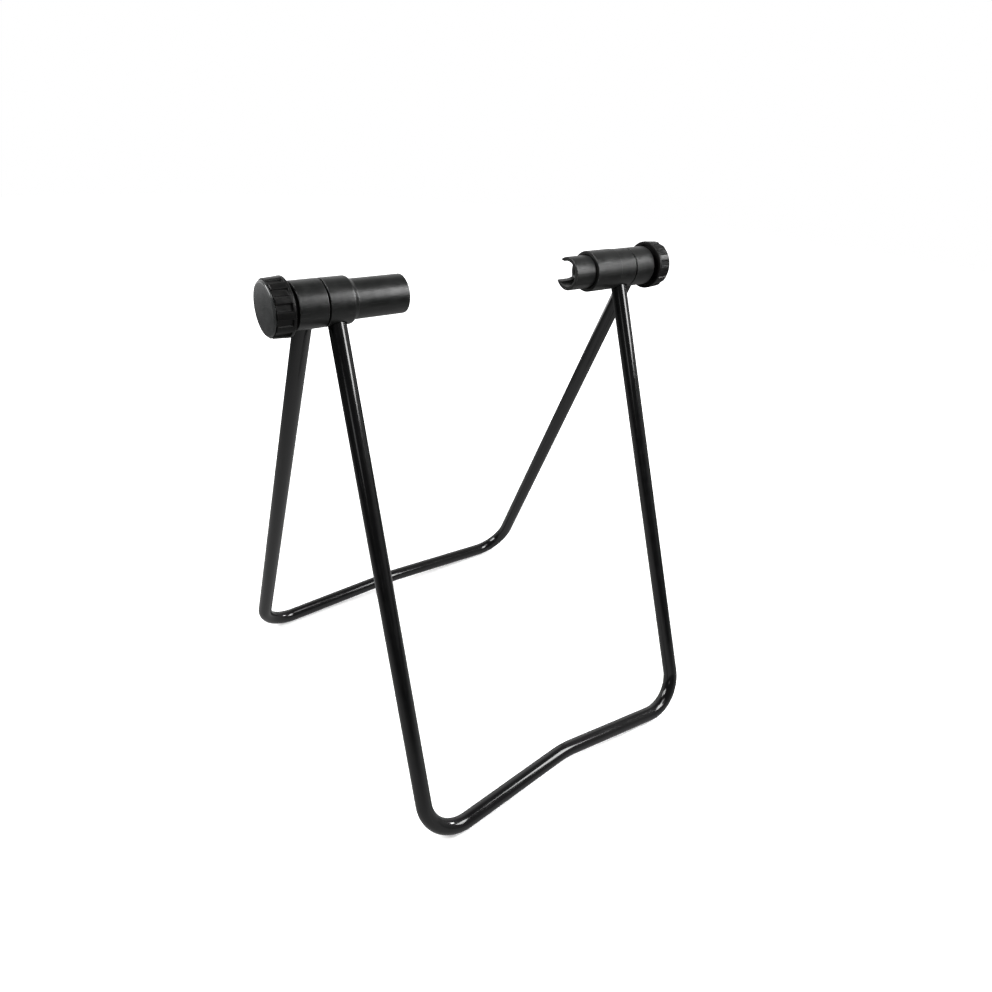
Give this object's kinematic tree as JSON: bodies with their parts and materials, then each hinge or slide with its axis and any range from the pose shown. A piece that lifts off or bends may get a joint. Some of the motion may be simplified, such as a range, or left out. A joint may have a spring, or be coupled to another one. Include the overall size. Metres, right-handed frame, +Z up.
{
  "type": "bicycle hub stand",
  "caption": "Folding floor stand of bent steel tube: moulded cups on its fold line hold a bicycle's rear hub, one fixed and one moved in and out by a ribbed knob.",
  "frame": {"origin": "on the floor, midway between the two knobs and between the front and back feet", "axes": "+Z up; +X along the fold line, towards the side with the sliding cup; the front of the stand faces -Y"},
  "size_m": [0.334, 0.2998, 0.3788],
  "materials": {
    "black_paint": "gloss",
    "barrel_plastic": "matt moulded",
    "knob_plastic": "satin moulded",
    "cap_plastic": "satin gloss",
    "washer_nylon": "matt",
    "zinc_steel": "zinc plated"
  },
  "bodies": {
    "front_assembly": {"front_frame": "black_paint", "left_front_cup": "barrel_plastic", "right_front_collar": "barrel_plastic", "left_clamp_nut": "zinc_steel", "right_thrust_washer": "washer_nylon", "left_pivot_washer": "washer_nylon", "right_pivot_washer": "washer_nylon", "front_left_leg_pin": "zinc_steel", "front_right_leg_pin": "zinc_steel"},
    "back_assembly": {"back_frame": "black_paint", "left_back_collar": "barrel_plastic", "right_back_collar": "barrel_plastic", "back_left_leg_pin": "zinc_steel", "back_right_leg_pin": "zinc_steel"},
    "left_clamp": {"left_thrust_washer": "washer_nylon"},
    "left_knob": {"left_knob": "knob_plastic", "left_knob_cap": "cap_plastic", "left_clamp_screw": "zinc_steel"},
    "right_knob": {"right_knob": "knob_plastic", "right_knob_cap": "cap_plastic", "right_adjusting_screw": "zinc_steel", "right_retaining_ring": "zinc_steel"},
    "right_sleeve": {"right_slotted_sleeve": "barrel_plastic", "right_adjusting_nut": "zinc_steel"}
  },
  "joints": [
    {"name": "fold", "type": "hinge", "parent": "front_assembly", "child": "back_assembly", "pos_m": [0, 0, 0.36049], "axis": [-1, 0, 0], "range_deg": [0, 41.5]},
    {"name": "left_clamp_travel", "type": "slide", "parent": "front_assembly", "child": "left_clamp", "axis": [-1, 0, 0], "range_m": [0, 0.0025]},
    {"name": "left_knob_turn", "type": "hinge", "parent": "left_clamp", "child": "left_knob", "pos_m": [-0.155, 0, 0.36049], "axis": [-1, 0, 0], "range_deg": [0, 721]},
    {"name": "right_knob_turn", "type": "hinge", "parent": "front_assembly", "child": "right_knob", "pos_m": [0.155, 0, 0.36049], "axis": [1, 0, 0], "range_deg": [-2017, 1585]},
    {"name": "right_sleeve_slide", "type": "slide", "parent": "front_assembly", "child": "right_sleeve", "axis": [-1, 0, 0], "range_m": [-0.007, 0.0055]}
  ],
  "couplings": [
    {"joint": "left_knob_turn", "follows": "left_clamp_travel", "rad_per_m": 5026.5},
    {"joint": "right_knob_turn", "follows": "right_sleeve_slide", "rad_per_m": 5026.5}
  ]
}
